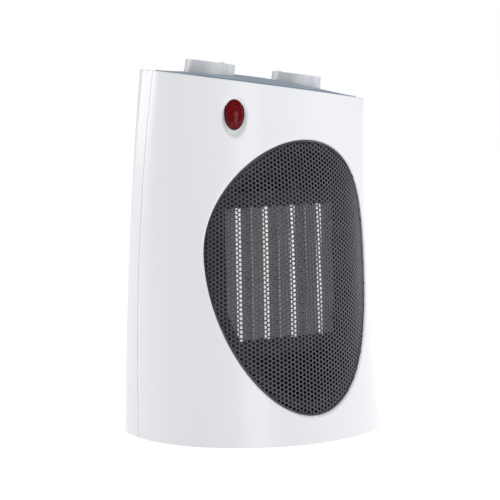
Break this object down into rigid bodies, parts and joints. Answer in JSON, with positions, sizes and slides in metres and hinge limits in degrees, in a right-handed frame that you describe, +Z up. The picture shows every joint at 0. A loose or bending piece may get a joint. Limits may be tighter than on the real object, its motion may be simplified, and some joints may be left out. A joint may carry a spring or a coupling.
{
  "type": "ceramic fan heater",
  "caption": "Upright ceramic space heater: flared two-part case, oval perforated outlet with a finned element and fan behind it, slanted top with rotary controls, red lamp",
  "frame": {"origin": "on the floor under the middle of the case's footprint", "axes": "+Z up, -Y towards the outlet in front, +X to the viewer's right"},
  "size_m": [0.2002, 0.1366, 0.275],
  "materials": {
    "case_white": "satin gloss",
    "panel_blue_grey": "satin",
    "base_grey": "matte",
    "mesh_black": "semi-gloss",
    "black_plastic": "matte",
    "bare_aluminium": "bright",
    "fin_aluminium": "dull",
    "ptc_ceramic": "fired ceramic, matte",
    "tinned_brass": "plated",
    "motor_steel": "satin",
    "bronze": "satin",
    "shaft_steel": "ground",
    "fan_plastic": "matte",
    "screw_steel": "zinc plated",
    "bakelite": "matte",
    "knob_white": "satin gloss",
    "red_lens": "polished",
    "lamp_holder": "matte",
    "rubber_grey": "matte",
    "gland_rubber": "matte"
  },
  "bodies": {
    "case": {"front_shell": "case_white", "rear_shell": "case_white", "control_panel": "panel_blue_grey", "base_plate": "base_grey", "outlet_grille": "mesh_black", "grille_clamp_ring": "black_plastic", "air_guide": "black_plastic", "ptc_bars": "bare_aluminium", "ptc_ceramic_stones": "ptc_ceramic", "contact_plates": "bare_aluminium", "radiator_fins": "fin_aluminium", "heater_frame": "black_plastic", "heater_terminals": "tinned_brass", "fan_duct": "black_plastic", "motor_spider": "black_plastic", "motor_can": "motor_steel", "motor_end_cap": "motor_steel", "motor_bearings": "bronze", "motor_stator": "motor_steel", "heater_screws": "screw_steel", "duct_screws": "screw_steel", "thermal_cutout": "bakelite", "thermal_fuse": "tinned_brass", "thermostat_body": "bakelite", "rotary_switch_body": "bakelite", "control_nuts": "tinned_brass", "lamp_lens": "red_lens", "lamp_body": "lamp_holder", "rubber_feet": "rubber_grey", "foot_screws": "screw_steel", "tip_over_switch": "bakelite", "case_screws": "screw_steel", "cord_inlet_gland": "gland_rubber", "terminal_block": "lamp_holder", "terminal_clamps": "tinned_brass"},
    "fan": {"fan_impeller": "fan_plastic", "motor_shaft": "shaft_steel", "motor_rotor": "motor_steel"},
    "temperature_control": {"temperature_knob": "knob_white", "thermostat_stem": "shaft_steel"},
    "function_control": {"function_knob": "knob_white", "switch_stem": "shaft_steel"},
    "plunger": {"tip_over_plunger": "knob_white"}
  },
  "joints": [
    {"name": "fan_spin", "type": "hinge", "parent": "case", "child": "fan", "pos_m": [0, 0.01453, 0.11842], "axis": [0, 0.9995, -0.0326], "continuous": true},
    {"name": "temperature_turn", "type": "hinge", "parent": "case", "child": "temperature_control", "pos_m": [-0.03732, 0.02174, 0.26577], "axis": [-0.1306, 0.0306, -0.991], "range_deg": [0, 270]},
    {"name": "function_turn", "type": "hinge", "parent": "case", "child": "function_control", "pos_m": [0.03862, 0.02205, 0.25577], "axis": [-0.1306, 0.0306, -0.991], "range_deg": [0, 270]},
    {"name": "plunger_slide", "type": "slide", "parent": "case", "child": "plunger", "axis": [0, 0, -1], "range_m": [0, 0.005], "stiffness_N_per_m": 60, "springref_m": 0.012}
  ]
}
